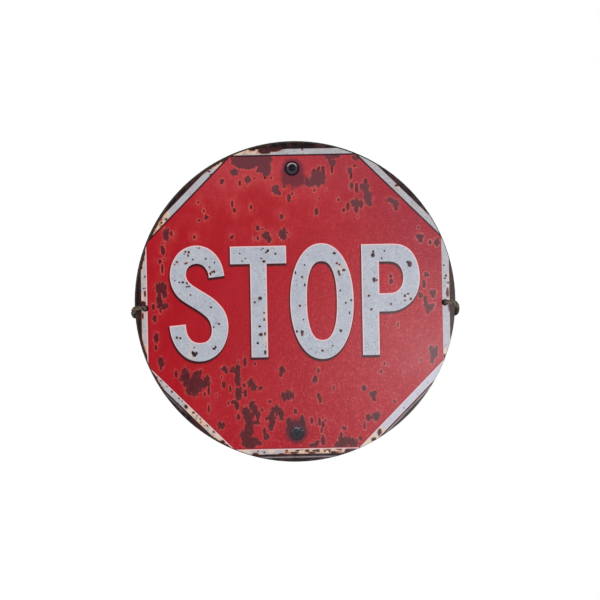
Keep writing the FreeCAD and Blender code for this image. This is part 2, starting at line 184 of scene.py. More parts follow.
# Oval patches of wear, each across, up, half width and half height. First the rust on the red.
RUST = [
    (-43, 133, 14, 7), (-28, 132, 9, 6), (-51.5, 133, 5, 5.5), (-24.5, 133.5, 4.6, 6),
    (-54, 122.5, 3.6, 3.6), (-43, 127, 8, 2.5), (-30, 125, 3, 4), (-24, 124, 4.2, 7.5),
    (-66, 113.5, 1.9, 2.8), (-49, 111.5, 1.1, 2.4), (-41.5, 114.5, 3.4, 4), (-35.5, 116, 0.7, 0.9),
    (-25.5, 116.5, 1, 1.8), (-19.5, 116, 0.6, 1.2), (-15.5, 105, 3, 4.4), (-12.6, 101.5, 2, 2.2),
    (-7.5, 108, 0.7, 2.2), (-3.5, 97.2, 1.9, 3.6), (0, 101, 0.7, 1.3), (-56.5, 92.5, 1.1, 3.2),
    (-54.5, 86.5, 1.4, 2.2), (-39, 89, 1.3, 2.4), (-88.2, 94.4, 0.9, 1.2), (-83.2, 86.6, 0.9, 1.5),
    (-81.5, 80.6, 1.2, 2.6), (-79.2, 80.4, 0.5, 1.2), (-88, 77.6, 1, 1.2), (-10.5, 80, 1.9, 2.6),
    (-92.5, 62, 1.3, 1.6), (-57.5, 61.5, 1.5, 2.1), (-33, 69.5, 1.7, 2.6), (-28.5, 68.5, 1, 0.8),
    (-25.2, 62, 4.6, 3.8), (-22.5, 58.5, 2, 3), (-33, 59.5, 1.1, 2), (-36.5, 59.5, 0.7, 0.7),
    (-9.5, 63.5, 4, 5.6), (-118.5, 65, 2.9, 6), (-113.7, 65.5, 1, 2.6), (-122.2, 50, 1.7, 4.6),
    (-121, 42, 0.7, 1), (-125, 40, 1.4, 2), (-123, 33, 1, 4.5), (-122, 57, 0.8, 1), (-124.5, 15, 5, 6),
    (-121.5, 9, 3, 4), (-126.3, 3, 3, 7), (-122, -2, 3.6, 2.8), (-125.5, -6, 0.8, 2.5),
    (-132, -2.5, 1.3, 3), (-131, -13.5, 1.8, 3.6), (-130, -31.5, 2, 5.2), (-130.4, -40.5, 1, 2.8),
    (-126, -54, 2.6, 4.6), (-126.2, -59, 1, 2.6), (-112, -65.5, 1.4, 3.4), (-103.5, -68, 4.6, 8),
    (-101, -78, 3, 8), (-94, -75, 7.5, 9), (-94.5, -83, 3.4, 3.4), (-83, -73, 3, 5), (-87.5, -76, 4, 4),
    (-81.7, -81, 1, 4.6), (-88.5, -64, 0.8, 2.4), (-92.5, -65.5, 2.4, 3), (-85.5, -85, 0.8, 2.2),
    (-75, -86, 0.5, 1.2), (-82, -98.5, 0.7, 3.5), (-66.5, -61.5, 2.8, 2.6), (-65.2, -64.5, 1.4, 2),
    (-69.5, -69.5, 0.8, 1.1), (-67.5, -76.5, 1.7, 3), (-58.5, -62.5, 3.2, 2.8), (-54.5, -62, 2.2, 4.6),
    (-54.5, -71.5, 2.7, 7), (-48.7, -77, 1.4, 2), (-53.8, -85, 3.3, 6), (-58.3, -93, 3, 1.9),
    (-55.5, -96.5, 1.9, 4), (-63.5, -94, 0.7, 1.6), (-61.5, -80.5, 0.9, 3), (-47.7, -85, 1.8, 3.4),
    (-47.5, -55.5, 1.5, 4.2), (-38, -57.5, 0.7, 1.6), (-53.5, -56, 0.5, 1.6), (-42.2, -75.5, 3.2, 4),
    (-40, -79, 3.2, 3.6), (-33.5, -80.5, 2.1, 1.8), (-12.7, -63, 2.6, 3), (-14, -67, 1.3, 4),
    (-8.5, -88.5, 5.6, 3.8), (-5.8, -86.5, 4, 3.6), (-25, -93, 1.2, 1.5), (-32, -101, 1.3, 1.5),
    (-41.5, -97, 2.6, 5), (-47.8, -101.5, 3.4, 4), (-44.5, -106, 5, 4), (-39.3, -100, 3.2, 4.6),
    (-36.3, -105.5, 2.2, 3.4), (-44.5, -112, 3.4, 7), (-38.2, -112.6, 4, 1.9), (-45, -119, 4.6, 6),
    (-49, -125.5, 4, 6), (-44, -131, 7.5, 5.5), (-35, -132, 2.2, 2), (-54.5, -106.5, 1.4, 2.6),
    (-71, -114.5, 3.2, 3.6), (-19, -101, 5.2, 4), (-23.2, -107.5, 3.6, 6), (-24, -114.5, 2.6, 5),
    (-14.4, -105.5, 2.4, 5.4), (-28.5, -109, 1, 1.5), (-30.3, -121, 1.4, 3.6), (-28.7, -125.5, 2.8, 3),
    (-1, -102.5, 1.4, 3), (13.6, 111.5, 2.6, 3.8), (18, 110.5, 4, 4), (24, 115, 7.2, 8), (29, 121, 1.8, 5),
    (20.4, 121, 1.3, 3), (25, 122, 1.2, 4), (36, 135, 5.5, 3), (42, 135.5, 3.4, 2.2), (38, 129, 3, 4),
    (37.3, 122.5, 1, 3.4), (59.5, 133.2, 3.4, 2.2), (54, 121.6, 2.5, 2.9), (55, 116.5, 1.1, 3.4),
    (58.5, 126, 0.8, 1.6), (61, 125.5, 0.6, 0.7), (55.3, 107.3, 2.2, 3), (60, 105.3, 1.5, 4.6),
    (67.4, 106.2, 4, 4.6), (68.8, 111, 1.5, 3), (70.6, 96.5, 4.4, 5.4), (69, 101.5, 3, 3.4),
    (72, 90.5, 2.6, 3.2), (59.4, 91.2, 4.5, 4.4), (59.2, 86.2, 2, 4.2), (64.3, 89.6, 2, 3.6),
    (51.5, 88.3, 1.5, 3.8), (47.5, 84.5, 1.3, 1.8), (60.6, 78.5, 0.7, 0.9), (91, 93.4, 3.3, 2.4),
    (95.6, 89.4, 3.2, 3.8), (96.6, 85.4, 1.9, 2.4), (43, 94.5, 1.1, 1.4), (20.5, 103.5, 0.8, 1.6),
    (24.5, 96, 0.7, 0.8), (22, 83.6, 1.9, 3.2), (31.5, 104, 0.6, 0.6), (118.4, 58.8, 3.8, 2.3),
    (118.7, 56, 2, 3), (117, 67, 0.7, 1.2), (127.8, 53, 1.1, 2.3), (134, 53, 2.5, 3.6),
    (123.8, 23, 2.4, 2.8), (121.4, 14, 1.6, 4), (129.8, 6.2, 3.2, 2.4), (129.5, 3.5, 1.8, 2.6),
    (117.8, 4, 1.8, 2.6), (122.4, 1.5, 1.3, 1.6), (122.4, -3, 2, 4.4), (126.4, -8, 3.4, 3),
    (124.4, -11.5, 1.6, 2.8), (129.3, -6, 1.6, 2.4), (126.8, -46, 2, 2.8), (129, -51, 3.3, 5.6),
    (127.6, -57, 1.6, 4), (131.6, -47.5, 1.4, 3.6), (21, -65, 1.1, 2.2), (18, -73, 2.3, 3.6),
    (79.6, -67, 1.3, 1.9), (83, -59.5, 0.8, 1.6), (63.3, -82, 1.9, 3), (72, -87.6, 3.2, 2.6),
    (72.4, -91.5, 1.9, 3.4), (21.8, -90.4, 2, 2), (22.4, -93, 1.2, 2.2), (20.6, -87.6, 1, 2),
    (35.3, -81, 0.7, 1.9), (92, -95.2, 1, 1.6), (66.8, -109.7, 1.9, 3.6), (74, -108.4, 3.7, 4),
    (63.3, -116.8, 0.9, 4), (44.3, -119.3, 1.9, 1.9), (45.6, -130.5, 7.4, 3.6), (41, -134.5, 6.4, 3),
    (52.6, -133.5, 4.4, 3.6), (41.4, -125.4, 1.2, 2.4), (59, -129, 1.7, 2.1), (14, -111.4, 1.2, 3),
    (21.4, -112.6, 1.2, 3.6), (24.6, -115.4, 1.4, 3), (18.6, -115, 0.8, 1), (27, -111.6, 0.6, 1.6),
    (23, -121, 0.9, 2.6), (24.2, -130, 1.9, 4.6), (15, -134.6, 4.4, 1.8), (-7.6, -112.6, 2, 4.2),
    (-5.6, -115, 2.6, 2.4), (4.9, -111.4, 2.1, 5.2), (1.8, -114, 3, 1.8), (6.4, -114.5, 1.7, 3.6),
    (19, -132, 1.4, 2), (90.4, 22.2, 1.4, 1.8), (90.6, 17, 1.8, 2.4), (96.5, -23.5, 0.6, 2.2),
    (116.8, -57, 0.6, 1.6),
]

# The soft maroon stain round each printed bolt.
BOLT_STAINS = [
    (0.5, 121, 10.4, 11.5), (0.4, 124.6, 9.8, 9.4), (-6, 115, 4.6, 7), (3, 113, 6, 7), (9, 114, 3.6, 6),
    (0.5, 108, 1.2, 4), (13, 113, 1.6, 4), (-0.4, -121.5, 10.6, 11.2), (-7, -114, 3, 5), (5, -113, 3, 5),
]

# Where the white print is stained cream and orange.
CREAM = [
    (-54, 139.5, 9, 3), (-38, 141, 9, 2.6), (-68, 130, 9, 5), (-128, 74, 9, 9), (-134, 66, 6, 8),
    (-119, 84, 4, 4), (-140.5, 53, 2.4, 6), (-143.5, 40, 3, 10), (-143.6, 25, 1, 6), (-142.4, 3, 2.6, 8),
    (-144.4, -24, 1.2, 14), (-142.6, -31, 0.6, 4), (-140, -46, 2.4, 9), (-133, -64, 2, 5),
    (-98, -102, 5, 5), (-90, -110, 5, 5), (-86, -114, 3, 3), (-80, -119.5, 3, 3), (-75, -125, 4, 4),
    (-70, -129, 8, 3.4), (-52, -140, 9, 3), (-36, -142.6, 4, 1.6), (-24, -139.6, 4, 2), (2, -140.4, 16, 3),
    (30, -140.2, 20, 3.4), (70, -131, 9, 6), (79, -123.5, 4, 4), (99.5, 105.2, 2.2, 1.6), (145, 0, 1.6, 7),
    (143.8, 10, 1, 6), (145, 19, 1.6, 5), (139.6, -50, 1.6, 4), (-141, 6.6, 1.4, 3),
    (-140.8, -10.2, 1, 3.2), (-99, 47, 2, 1.8), (-99, 39, 1.6, 2), (-77, 29, 2.4, 1.4),
    (-94.2, -41.6, 1.5, 1.1), (-97.7, -41, 0.6, 5), (-98.6, -48, 2, 2.6), (-94.6, -51.4, 2, 0.8),
    (-24, 47, 2, 1.6), (-28, -12, 1.4, 7), (-28, -34, 1.4, 9), (44, 30, 2.4, 3), (105, 3, 2.4, 2),
]

# Dark bites out of the white print's outer edge, and stains of rust on it.
BITES = [
    (-37, 143.2, 3, 1.4), (-25, 141.4, 6, 2.7), (-19, 142.8, 9, 2.2), (-9, 144, 3, 1.4),
    (-118.6, 79.3, 0.9, 1), (-133.5, 70.5, 1.2, 2.6), (-129, 76, 1.4, 1.8), (-125, 80.5, 1, 1.2),
    (-136.4, 65.6, 0.8, 2.4), (-140.8, 43, 1, 2.4), (-143.2, 35, 1.2, 2.2), (-139.6, 10, 0.8, 2.6),
    (-142.2, -10.5, 0.5, 2), (-103.3, -96.3, 1.3, 1.5), (-69.3, -130, 2, 1.6), (-65.5, -133, 1.6, 1.2),
    (-14, -143.4, 4, 1.6), (-22, -144, 2.6, 1), (6, -143.6, 5, 0.9), (22, -143.8, 6, 0.8),
    (50, -140.4, 5.6, 2.6), (46, -143.4, 5, 1.6), (77.4, -124, 1.8, 3.6), (72, -130.4, 2.4, 1.6),
    (143.2, 5.7, 1, 4.2), (144.8, -8, 0.8, 3.6), (139.4, -54, 0.8, 2), (97.4, 106.7, 1.3, 0.9),
    (-115, 77, 0.5, 0.7), (-123, 76, 0.7, 0.6), (-141.4, 0.4, 2.4, 2.4), (-39, -142.2, 2.6, 1.1),
    (9, -139.4, 1.6, 1.4), (-3, -141.4, 3.6, 0.8), (19.4, -139.6, 1.4, 1.8), (25.6, -140, 0.7, 1.2),
    (34.6, -141.6, 3.6, 0.8), (14, -141.6, 3, 0.7), (29, -138.6, 2, 0.5), (39, -138.6, 2.4, 0.6),
    (-10, -139, 1, 0.8), (4, -138.4, 1.6, 0.5),
]

# Small dark specks on the white print.
SPECKS = [
    (-109.2, 39, 0.8, 0.8), (-104, 20, 1.1, 0.8), (-94.4, 41, 0.6, 0.5), (-82.3, 41.5, 0.7, 0.5),
    (-97, 8, 0.6, 0.5), (-78.2, -3.8, 0.8, 0.8), (-71.1, -19.5, 0.8, 0.8), (-76, -22.4, 0.5, 0.9),
    (-110.6, -31.6, 0.8, 0.9), (-107.4, -32.2, 0.8, 0.7), (-96, -46.2, 0.9, 1.7), (-94.4, -48.2, 1.6, 1.5),
    (-92.5, -46.6, 0.8, 1.3), (-94.8, -46.4, 0.8, 0.7), (-94.4, -41, 0.4, 0.3), (-76, -42.6, 1.3, 0.9),
    (-74.6, -41, 0.7, 0.9), (-98, 48, 0.9, 1.1), (-101, 48.5, 0.8, 0.6), (-99, 45.4, 0.7, 0.5),
    (-74.6, 29.2, 1, 0.7), (-78.6, 28, 0.8, 0.5), (-17, 45, 0.9, 0.9), (-24, 48, 0.9, 1.2),
    (-28, 38, 1.2, 0.9), (-32, 3.6, 1.6, 1.5), (-37, 0, 0.8, 0.8), (-28.6, -10, 0.6, 0.8),
    (-28.6, -16.4, 0.7, 1.2), (-33, -22.6, 1.1, 0.8), (-32, -30.2, 1.7, 1.3), (-28.2, -29.6, 0.7, 1.4),
    (-35, -38.2, 0.9, 0.9), (-28.2, -47, 0.8, 1.8), (38, 44.5, 1.3, 0.9), (40.2, 35.2, 0.9, 0.8),
    (42.8, 33.8, 0.8, 0.5), (46.6, 28.6, 1.4, 0.9), (41.8, 27.2, 0.8, 1.4), (42.6, 24.6, 0.7, 1),
    (7.4, 22.8, 0.8, 0.8), (10, 15.4, 0.6, 1.2), (10, 34, 0.6, 0.6), (5, -4, 0.9, 0.9), (8, -17, 0.6, 0.5),
    (1.4, -28, 0.9, 1), (6.7, -28.6, 1.4, 1.4), (6.6, -31, 0.9, 1.2), (42.8, -28, 1, 1.1),
    (53.2, 0.2, 0.9, 0.9), (48, -2, 0.8, 0.8), (51.2, -11.4, 0.5, 1.2), (25.4, -46.3, 0.9, 0.9),
    (35, -42, 0.6, 0.5), (43, 9.6, 0.7, 0.6), (1.4, 27, 0.6, 1.3), (74, 42, 1.6, 1.8), (74.6, 45.4, 0.8, 1),
    (74.8, 19, 1.3, 2.2), (77, 18.6, 0.8, 0.8), (108.4, 33, 2, 2.4), (106.4, 35, 1, 1),
    (69.6, 4.2, 0.9, 0.9), (71.6, -8.6, 0.9, 0.9), (103.4, 3.4, 1, 1.2), (106.2, 5.2, 1.1, 0.7),
    (108.8, 0.4, 1, 0.9), (103.2, -0.8, 0.8, 0.6), (90.2, -4, 0.9, 0.8), (85, 45.8, 0.7, 0.6),
    (82.4, 39, 0.6, 0.7), (-115.9, -81.7, 1.4, 1.1), (-109.5, -88.2, 0.7, 0.6), (-106.7, -90.7, 0.6, 0.6),
    (-96, -101.8, 1.5, 1), (-93, -104.9, 0.6, 0.6), (-90.2, -107.8, 0.6, 0.8), (-83.4, -114.4, 0.8, 0.7),
    (-77.5, -120, 1.2, 1), (-77.4, 123.2, 1, 0.6), (-20, 143, 0.5, 0.6), (10, 142, 0.5, 0.6),
    (-76, 120, 0.9, 0.7), (140.1, 31.3, 0.6, 0.7), (142.1, 21.6, 0.8, 0.8), (140.9, 19.2, 0.8, 0.7),
    (143.9, 15, 0.6, 1.1), (140.6, 12, 0.4, 0.4), (-37, -139.4, 0.6, 0.5), (-31, -140.4, 0.5, 0.7),
    (-101.3, 48.4, 0.5, 0.7), (-98.1, 47.6, 0.6, 0.8), (-102.2, 46.4, 0.6, 0.4), (-98.5, 44.4, 0.4, 0.6),
    (-88.5, 51.8, 0.7, 0.4), (-100.1, 38, 0.8, 0.6), (-101.7, 37.4, 0.5, 0.5), (-111.4, 36.6, 0.5, 0.4),
    (-78.9, 33.6, 0.4, 0.8), (-74.1, 37.9, 0.4, 0.7), (-76.5, 29.1, 0.9, 0.6), (-74.9, 29.9, 0.6, 0.9),
    (-78.1, 27.2, 0.6, 0.8), (-107.3, 20, 0.4, 0.5), (-100.1, 19, 0.5, 1.1), (-98.5, 16, 0.9, 0.6),
    (-100.6, 15.6, 0.5, 0.5), (-111.4, 22, 0.4, 0.5), (-50.4, 45.9, 0.6, 0.5), (-48.3, 38.7, 0.5, 0.5),
    (-45.1, 41.2, 0.5, 0.4), (-30.4, 40.9, 0.6, 0.4), (-28.4, 50.2, 0.7, 0.5), (-25.8, 46.4, 0.8, 0.6),
    (-30.4, 49.2, 0.5, 0.4), (-139.2, 26, 0.5, 0.9), (-139.2, 15.1, 0.5, 0.5), (-140.8, 14.9, 0.6, 0.4),
    (-129.7, -68, 0.6, 0.7), (-125.6, -71.4, 1.2, 0.8), (-120.2, -76.8, 0.8, 0.7),
    (100.6, -101.4, 0.5, 0.4), (17, -139.6, 2.6, 0.5), (0, -139.4, 2, 0.5), (30, -140.4, 0.7, 1),
]

# The cord's real route along its middle, across, back and up from the hook, in millimetres: from the
# left knot round the rim and through the left hole to the hook, and on to the right knot.
LEFT_ROUTE = [
    (-120.3, 0, -85.5), (-132.4, -0.3, -94.1), (-143.0, -3.2, -98.9), (-147.6, -4.2, -101.0),
    (-150.2, -4.9, -101.4), (-151.2, -7.5, -100.4), (-151.5, -11.5, -99.0), (-151.5, -15.6, -96.8),
    (-150.6, -17.6, -94.6), (-148.0, -18.0, -93.3), (-144.5, -18.0, -93.4), (-141.2, -17.7, -93.8),
    (-140.7, -14.6, -94.0), (-140.1, -6.0, -93.9), (-139.4, -2.2, -93.4), (-136.9, -0.3, -91.7),
    (-19.8, 0, -10.5), (-3.4, 0, 2.0),
]
RIGHT_ROUTE = [
    (3.4, 0, 2.0), (19.8, 0, -10.5), (136.9, -0.3, -91.6), (139.4, -2.2, -93.3), (140.1, -6.0, -93.8),
    (140.8, -14.6, -93.7), (141.4, -17.7, -93.5), (143.8, -18.0, -93.4), (147.6, -18.0, -93.5),
    (150.2, -17.8, -94.6), (151.3, -15.8, -97.0), (151.5, -12.0, -99.8), (151.3, -8.2, -102.4),
    (150.2, -5.0, -104.4), (147.6, -4.3, -104.6), (142.8, -3.2, -102.4), (132.2, -0.3, -93.9),
    (120.3, 0, -85.5),
]

# How much looser and thicker the cord lies where it rounds each rim, and where that is.
LOOSER = [(0.04, (-151.4, -12.0, -98.6)), (0.1, (151.5, -12.0, -99.8))]
LOOSER_REACH = 6 * MM
CORD_STEP = 0.45 * MM
STRANDS = 3
FIBRES = 1100

# The straight leg between the hook and the right knot, in millimetres. The left one mirrors it.
LEG_FOOT = (117.1, 0, -80.9)
LEG_TOP = (3.4, 0, 2.0)

# The photo's camera: how far off it stands, how wide its picture is at the face, its roll in degrees,
# and how far the picture's middle lies from the disc's.
CAMERA_DISTANCE = 3.0
PICTURE_WIDTH = 0.561
CAMERA_ROLL = 1.1
CAMERA_SHIFT = (4.65 * MM, 1.29 * MM)

# The soft lamps: name, place, size, power and colour. The world lights the rest.
LAMPS = [
    ("key", (0.4, -2.4, 1.3), 1.2, 16, (1, 1, 1)),
    ("glare", (0.32, -3.05, -0.22), 0.16, 34, (0.93, 0.95, 1.0)),
    ("behind", (0.4, 2.2, 1.0), 1.4, 22, (1, 1, 1)),
]
WORLD_STRENGTH = 0.54


class Nodes:
    """A node tree. A word in place of a value reads what the mesh's vertices hold under that name."""

    def __init__(self, tree):
        self.tree = tree

    def node(self, kind, sockets=None, **settings):
        """Adds a node, sets its properties, and links or sets its sockets."""
        made = self.tree.nodes.new("ShaderNode" + kind)
        for key, value in settings.items():
            setattr(made, key, value)
        for key, value in (sockets or {}).items():
            self.feed(made.inputs[key], value)
        return made

    def feed(self, socket, value):
        """Links a socket to another node's output, or sets its value."""
        if isinstance(value, str):
            value = self.node("Attribute", attribute_name=value).outputs["Fac"]
        if isinstance(value, bpy.types.NodeSocket):
            self.tree.links.new(value, socket)
        else:
            socket.default_value = value

    def math(self, operation, first, *others):
        """The result of one operation on two or more values."""
        for other in others:
            first = self.node("Math", {0: first, 1: other}, operation=operation).outputs[0]
        return first


class Paint(Nodes):
    """A material whose colour is laid on in coats. Colours are screen levels, from 0 to 255."""

    def __init__(self, name, roughness, specular):
        self.material = bpy.data.materials.new(name)
        self.material.use_nodes = True
        super().__init__(self.material.node_tree)
        self.shader = self.tree.nodes["Principled BSDF"].inputs
        self.feed(self.shader["Roughness"], roughness)
        self.feed(self.shader["Specular IOR Level"], specular)
        self.place = self.node("TexCoord").outputs["Object"]

    def times(self, *values):
        """The product of some values."""
        return self.math("MULTIPLY", *values)

    def plus(self, *values):
        """The sum of some values."""
        return self.math("ADD", *values)

    def spread(self, value, low, high, to_low=0, to_high=1):
        """A value eased from one range to another, and held at its ends."""
        sockets = {"Value": value, "From Min": low, "From Max": high, "To Min": to_low, "To Max": to_high}
        return self.node("MapRange", sockets, interpolation_type="SMOOTHSTEP").outputs[0]

    def fade(self, value, low, high, strength=1):
        """A strength that holds below one value and eases to nothing at another."""
        return self.spread(value, low, high, strength, 0)

    def noise(self, size, detail=3, stretch=(1, 1, 1), rough=0.6, shift=(0, 0, 0)):
        """Fractal noise with its largest features about that many millimetres, stretched by axis."""
        scale = [1 / (size * MM * s) for s in stretch]
        moved = self.node("Mapping", {"Vector": self.place, "Location": shift, "Scale": scale})
        sockets = {"Vector": moved.outputs[0], "Scale": 1, "Detail": detail, "Roughness": rough}
        return self.node("TexNoise", sockets).outputs[0]

    def mix(self, factor, first, second):
        """One colour mixed into another."""
        made = self.node("Mix", data_type="RGBA")
        for index, value in ((0, factor), (6, first), (7, second)):
            self.feed(made.inputs[index], srgb(value) if isinstance(value, tuple) else value)
        return made.outputs[2]

    def coat(self, colour, *factors):
        """Lays a colour over the earlier ones, as strongly as the product of the factors."""
        self.colour = self.mix(self.times(*factors), self.colour, colour)

    def bump(self, height, strength, distance):
        """Feeds a height to the shader's normal."""
        sockets = {"Height": height, "Strength": strength, "Distance": distance}
        self.feed(self.shader["Normal"], self.node("Bump", sockets).outputs[0])

    def finished(self):
        """The material, with its colour fed to the shader."""
        self.feed(self.shader["Base Color"], self.colour)
        return self.material


def srgb(levels):
    """A colour's screen levels, from 0 to 255, made linear."""
    parts = [level / 255 for level in levels]
    return (*(part / 12.92 if part <= 0.04045 else ((part + 0.055) / 1.055) ** 2.4 for part in parts), 1.0)


def print_paint(name, specular=0.045):
    """A printed material's start, satin with a fine woven grain as a bump, and the grain's height."""
    paint = Paint(name, 0.22, specular)
    down = paint.noise(2, 2, (0.6, 1, 3.0))
    across = paint.noise(2, 2, (3.0, 1, 0.6), shift=(3, 0, 5))
    weave = paint.times(paint.plus(down, across), 0.5)
    paint.bump(weave, 0.4, 0.12 * MM)
    return paint, paint.spread(weave, 0.38, 0.62)


def rough(paint, size, detail, stretch, fineness):
    """Noise about nothing, that makes the edge of a patch ragged."""
    return paint.plus(paint.noise(size, detail, stretch, fineness), -0.5)


def print_red():
    """Worn red print with rust, the bolts' stains, the letters' shadow, the border's fine lines and some
    painted sheen.
    """
    paint, weave = print_paint("print_red")
    wear = paint.noise(26, 4, (1, 1, 2.2))
    paint.colour = paint.mix(paint.spread(wear, 0.3, 0.75), (165, 4, 22), (172, 16, 30))
    fade_red(paint, weave)
    grain_red(paint)
    ragged_edge = rough(paint, 3.2, 4, (0.8, 1, 1.5), 0.65)
    rust_red(paint, ragged_edge)
    stain = paint.plus("bolt_stain", paint.times(ragged_edge, 5))
    stained = paint.mix(paint.spread("height", -10, 10), (70, 23, 35), (98, 36, 48))
    paint.coat(stained, paint.fade(stain, -2.6, 2.4, 0.92))
    paint.coat((46, 4, 12), paint.fade("letter_shadow", 0.2, 1.5, 0.96))
    paint.coat((44, 12, 22), paint.fade("edge", 1.1, 1.8), "dark_edge")
    paint.coat((112, 14, 32), paint.fade("edge", 0.6, 1.3, 0.6), "light_edge")
    paint.feed(paint.shader["Roughness"], paint.spread(wear, 0.3, 0.7, 0.21, 0.24))
    return paint.finished()


def fade_red(paint, weave):
    """Pale streaks, a faded top, a salmon smear near rust and the weave's dark threads."""
    streaks = paint.noise(5, 3, (0.5, 1, 5))
    paint.coat((176, 48, 50), paint.spread(streaks, 0.55, 0.85, 0, 0.25))
    mottle = paint.spread(paint.noise(15, 5, (1, 1, 1.3)), 0.44, 0.66, 0.4)
    paint.coat((188, 66, 70), paint.spread("height", 20, 118), mottle, 0.42)
    paint.coat((188, 80, 86), paint.spread("height", 92, 128, 0, 0.4))
    smear = paint.spread(paint.noise(6, 5, (0.7, 1, 2.6), 0.7), 0.4, 0.62, 0.1)
    higher = paint.spread("height", -20, 110, 0.15, 0.5)
    paint.coat((194, 72, 68), paint.fade("rust", 1, 8), smear, higher)
    paint.coat((136, 10, 26), weave, 0.34)


def grain_red(paint):
    """Fine light and dark grain that grows toward the lower right, where its pale part is also painted sheen,
    and a darker upper right.
    """
    upright = paint.noise(1.5, 2, (0.8, 1, 1.9), shift=(7, 0, 2))
    level = paint.noise(1.5, 2, (1.9, 1, 0.8), shift=(1, 0, 9))
    grain = paint.times(paint.plus(upright, level), 0.5)
    # Painted sheen in part: the grain, its pale part most, grows toward the lower right where the sheen lies.
    grain_and_sheen = paint.spread("lower_right", -100, 110, 0, 0.42)
    paint.coat((208, 92, 108), paint.spread(grain, 0.5, 0.68), grain_and_sheen)
    paint.coat((114, 8, 28), paint.spread(grain, 0.5, 0.32), grain_and_sheen)
    paint.coat((132, 16, 42), paint.spread("upper_right", 95, 190, 0, 0.42))


def rust_red(paint, ragged_edge):
    """Maroon rust patches, paler toward the top, with ragged edges and a salmon halo that turns paler and
    pinker toward the lower right as painted sheen.
    """
    ragged = paint.spread("rust_size", 0.5, 4, 0.35, 2.6)
    fine_edge = rough(paint, 1.1, 3, (0.8, 1, 1.3), 0.7)
    coarse = paint.times(ragged_edge, ragged, 4.6)
    edge = paint.plus("rust", -0.18, coarse, paint.times(fine_edge, ragged, 0.9))
    faded = paint.spread(paint.noise(7), 0.3, 0.7, 0.25, 0.95)
    # Painted sheen: the salmon halo is paler and pinker toward the lower right.
    salmon_and_sheen = paint.mix(paint.spread("lower_right", 20, 110), (198, 90, 84), (196, 106, 106))
    paint.coat(salmon_and_sheen, paint.fade(edge, 0.3, 1.5), faded, paint.spread("height", -120, 60, 0.55, 0.8))
    maroon = paint.mix(paint.spread(paint.noise(4, 5), 0.35, 0.7), (78, 17, 24), (94, 30, 36))
    maroon = paint.mix(paint.spread("height", 30, 115, 0, 0.8), maroon, (104, 50, 58))
    maroon = paint.mix(paint.fade("rust_size", 1, 2.8, 0.85), maroon, (92, 12, 22))
    paint.coat(maroon, paint.fade(edge, -0.25, 0.3))


def print_white(name, darker, paler, stained):
    """Off-white print, mottled, with cream stains, dark bites, specks and a pale line along lit edges."""
    paint, weave = print_paint(name)
    paint.colour = paint.mix(paint.spread(paint.noise(12, 4), 0.3, 0.7), darker, paler)
    # A pale bluish tone on some strips, partly painted sheen, most on the lower right one.
    paint.coat((188, 191, 206), "bluish")
    paint.coat((158, 162, 174), weave, 0.25)
    mottle = paint.noise(1.7, 4, shift=(2, 0, 6))
    paint.coat((146, 152, 162), paint.spread(mottle, 0.5, 0.3, 0, 0.34))
    paint.coat((208, 208, 220), paint.spread(mottle, 0.5, 0.7, 0, 0.34))
    paint.coat((112, 108, 122), paint.spread(paint.noise(1.7, 2, (1, 1, 1.2)), 0.63, 0.7, 0, 0.7))
    ragged_edge = rough(paint, 3, 5, (0.8, 1, 1.2), 0.65)
    stain_white(paint, ragged_edge, stained)
    speck_white(paint, ragged_edge)
    paint.coat((228, 184, 184), paint.fade("edge", 0.7, 1.35, 0.95), "lit")
    return paint.finished()


def stain_white(paint, ragged_edge, stained):
    """Cream stains, orange and brown where they are rusted, and dark bites with a brown edge."""
    rusty = paint.noise(4.2, 5)
    orange = paint.times(paint.spread(rusty, 0.46, 0.62), "rusted")
    brown = paint.times(paint.spread(rusty, 0.58, 0.66), "rusted")
    cream = paint.mix(brown, paint.mix(orange, (206, 189, 170), (206, 150, 114)), (128, 66, 42))
    cream_edge = paint.plus("cream", paint.times(ragged_edge, 5))
    paint.coat(cream, paint.fade(cream_edge, -1.6, 1.4, stained))
    bite_edge = paint.plus("bite", paint.times(ragged_edge, 2.6))
    paint.coat((172, 106, 80), paint.fade(bite_edge, 0.2, 1.3, 0.75))
    bite = paint.mix(paint.spread(paint.noise(3, 4), 0.4, 0.65), (46, 20, 22), (80, 34, 38))
    paint.coat(bite, paint.fade(bite_edge, -0.1, 0.4))


def speck_white(paint, ragged_edge):
    """Dark specks, some with an orange halo."""
    fine_edge = rough(paint, 0.9, 3, (0.8, 1, 1.1), 0.7)
    edge = paint.plus("speck", paint.times(ragged_edge, 0.7), paint.times(fine_edge, 1.5))
    orange = paint.spread(paint.noise(16, 2), 0.48, 0.62, 0, 0.45)
    paint.coat((188, 134, 108), paint.fade(edge, 0.2, 1.5), orange)
    speck = paint.mix(paint.spread(paint.noise(7), 0.48, 0.66), (38, 24, 32), (92, 42, 38))
    paint.coat(speck, paint.fade(edge, 0, 0.55))


def print_dark():
    """Near-black ground with brown rust and, on some sides, the printed edge's pale line."""
    paint, _ = print_paint("print_dark", 0.03)
    rust = paint.noise(7, 5, (1, 1, 1.4))
    paint.colour = paint.mix(paint.spread(rust, 0.44, 0.66), (17, 12, 15), (70, 38, 38))
    paint.coat((60, 22, 26), "browned")
    paint.coat((160, 147, 148), "line", paint.spread(paint.noise(5, 4), 0.3, 0.55, 0.6))
    return paint.finished()


